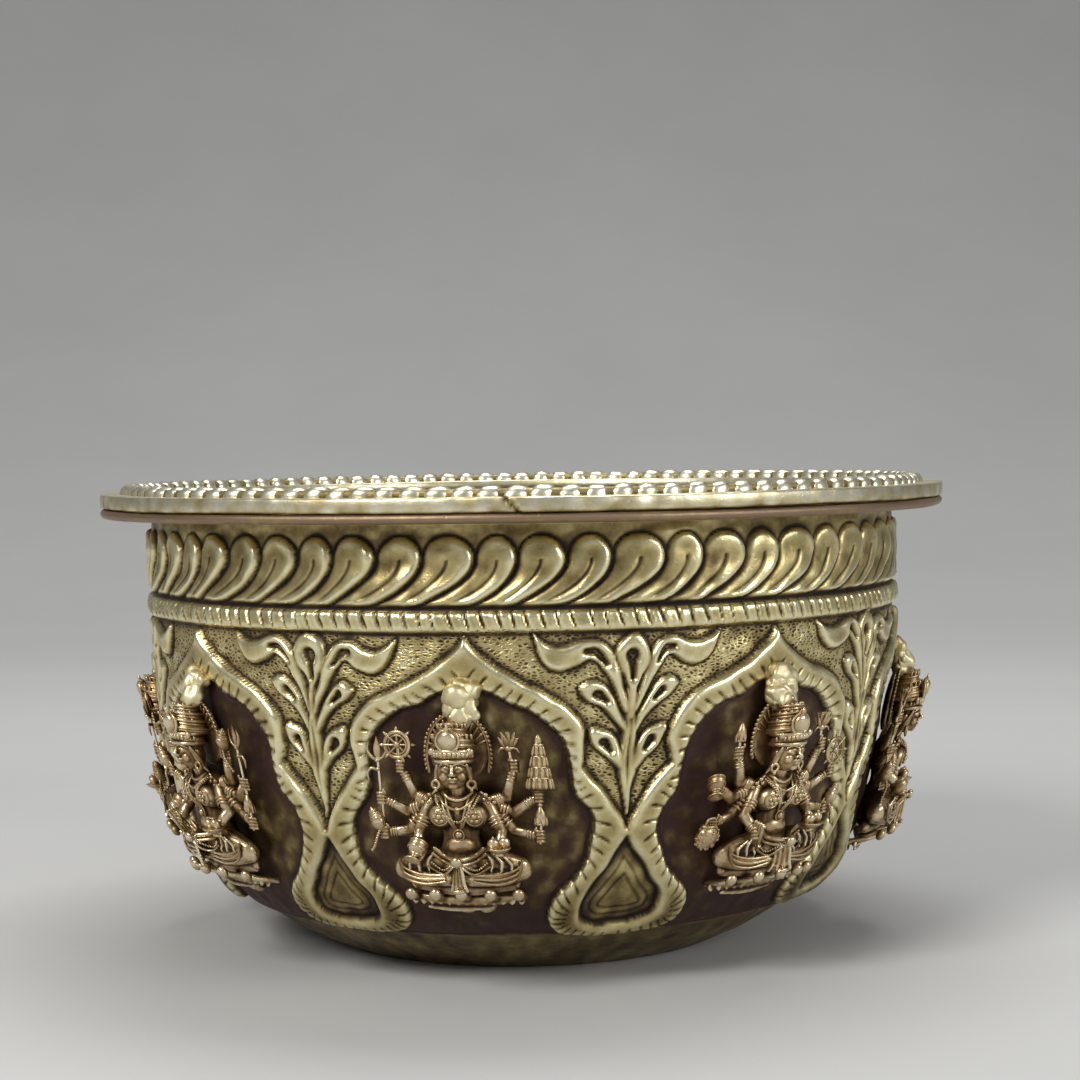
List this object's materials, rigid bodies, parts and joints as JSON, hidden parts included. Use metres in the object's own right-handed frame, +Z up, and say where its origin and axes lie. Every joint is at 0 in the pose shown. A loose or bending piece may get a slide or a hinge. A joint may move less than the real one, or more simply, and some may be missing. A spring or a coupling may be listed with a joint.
{
  "type": "ritual water bowl",
  "caption": "Wide-mouthed brass bowl with a flat base, a beaded rim and cast seated figures in chased niches round its wall.",
  "frame": {"origin": "centre of the flat base, on the surface that the bowl stands on", "axes": "+Z up through the mouth, -Y is the front seen first, +X to the right of the front"},
  "size_m": [0.2, 0.2, 0.1081],
  "materials": {
    "bowl_brass": "chased sheet brass with a dark brown-purple patina in the ground and rubbed pale high points",
    "rim_brass": "thick pale brass, filed and rubbed bright, dark in the seams",
    "figure_brass": "cast brass, golden brown, dark recesses and polished high points",
    "solder": "lumpy pale brazing metal"
  },
  "bodies": {
    "root": {"bowl_shell": "bowl_brass", "rim_solder": "solder", "rim_hoop": "rim_brass", "bead_ring": "rim_brass", "figure_1": "figure_brass", "figure_2": "figure_brass", "figure_3": "figure_brass", "figure_4": "figure_brass", "figure_5": "figure_brass", "figure_6": "figure_brass", "figure_7": "figure_brass", "figure_8": "figure_brass", "top_solder": "solder", "foot_solder": "solder"}
  },
  "joints": []
}
